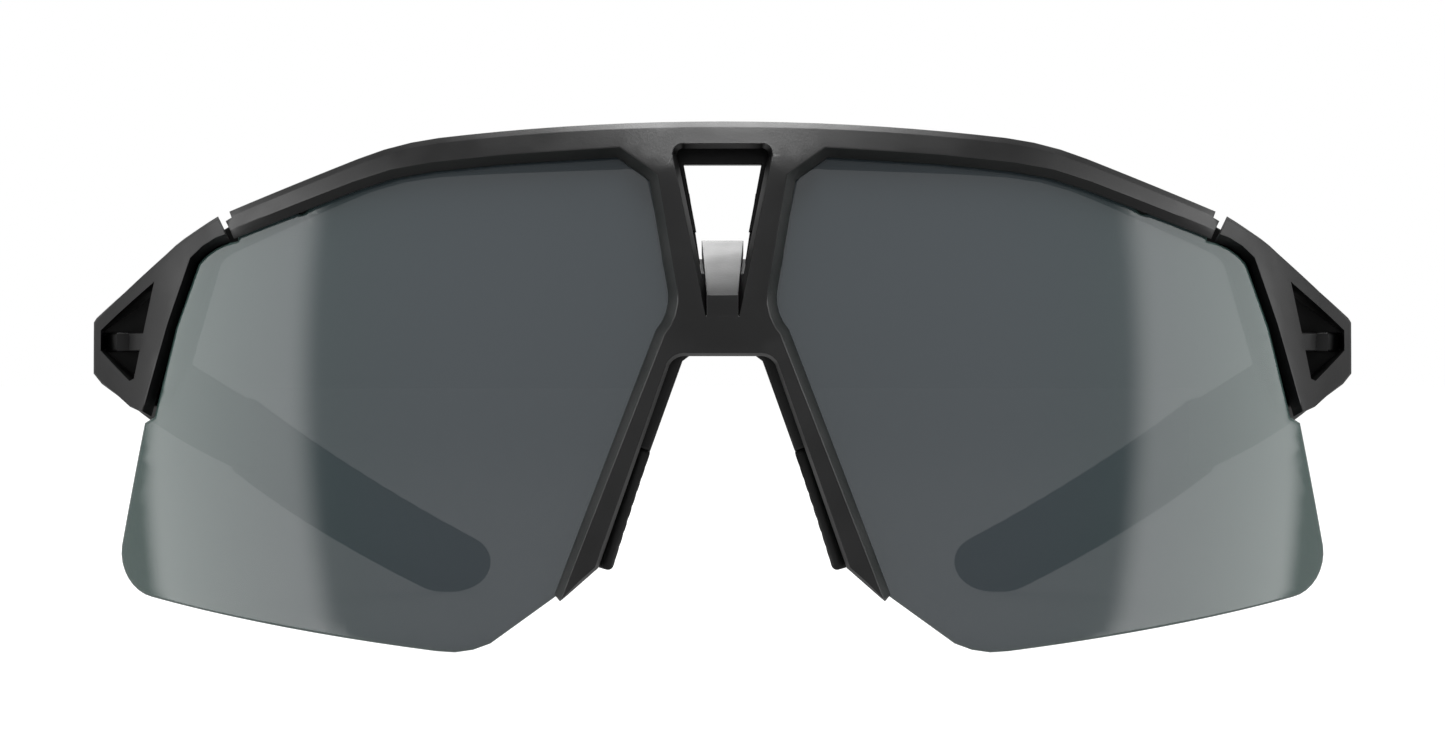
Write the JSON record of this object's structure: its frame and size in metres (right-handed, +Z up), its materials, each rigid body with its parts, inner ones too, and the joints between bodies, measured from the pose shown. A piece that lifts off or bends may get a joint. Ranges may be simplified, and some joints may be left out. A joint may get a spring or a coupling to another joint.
{
  "type": "wraparound sport sunglasses",
  "caption": "Wraparound sport sunglasses with a one-piece smoke shield lens, half-rim front brace, nose pads and folding drop temples, for shading and shielding the eyes outdoors.",
  "frame": {"origin": "middle of the width and of the depth, at the height of the surface that the lens corners and temple tips stand on", "axes": "+X towards the wearer's left, +Y towards the temple tips, +Z up"},
  "size_m": [0.1454, 0.154, 0.0568],
  "materials": {
    "lens_smoke": "glossy smoke-grey tinted polycarbonate",
    "brace_black": "matte moulded, fine grain",
    "frame_black": "matte moulded, fine grain",
    "carrier_black": "matte moulded",
    "temple_black": "matte moulded, fine grain",
    "pad_rubber": "soft matte rubber",
    "grip_rubber": "soft matte rubber, ribbed inside",
    "inlay_gloss": "glossy",
    "screw_steel": "brushed",
    "core_steel": "satin",
    "sleeve_brass": "turned",
    "insert_brass": "turned"
  },
  "bodies": {
    "front": {"main_frame": "frame_black", "front_brace": "brace_black", "shield_lens": "lens_smoke", "nose_carrier": "carrier_black", "carrier_screws": "screw_steel", "brow_pad": "pad_rubber", "nose_pad_left": "pad_rubber", "nose_pad_right": "pad_rubber", "hinge_sleeve_left": "sleeve_brass", "hinge_sleeve_right": "sleeve_brass"},
    "temple_left": {"temple_left": "temple_black", "temple_grip_left": "grip_rubber", "temple_core_left": "core_steel", "temple_inlay_left": "inlay_gloss", "hinge_screw_left": "screw_steel", "hinge_insert_left": "insert_brass"},
    "temple_right": {"temple_right": "temple_black", "temple_grip_right": "grip_rubber", "temple_core_right": "core_steel", "temple_inlay_right": "inlay_gloss", "hinge_screw_right": "screw_steel", "hinge_insert_right": "insert_brass"}
  },
  "joints": [
    {"name": "temple_left_hinge", "type": "hinge", "parent": "front", "child": "temple_left", "pos_m": [0.0664, -0.0264, 0.0332], "axis": [0, 0, 1], "range_deg": [0, 87]},
    {"name": "temple_right_hinge", "type": "hinge", "parent": "front", "child": "temple_right", "pos_m": [-0.0664, -0.0264, 0.0332], "axis": [0, 0, -1], "range_deg": [0, 75]}
  ]
}
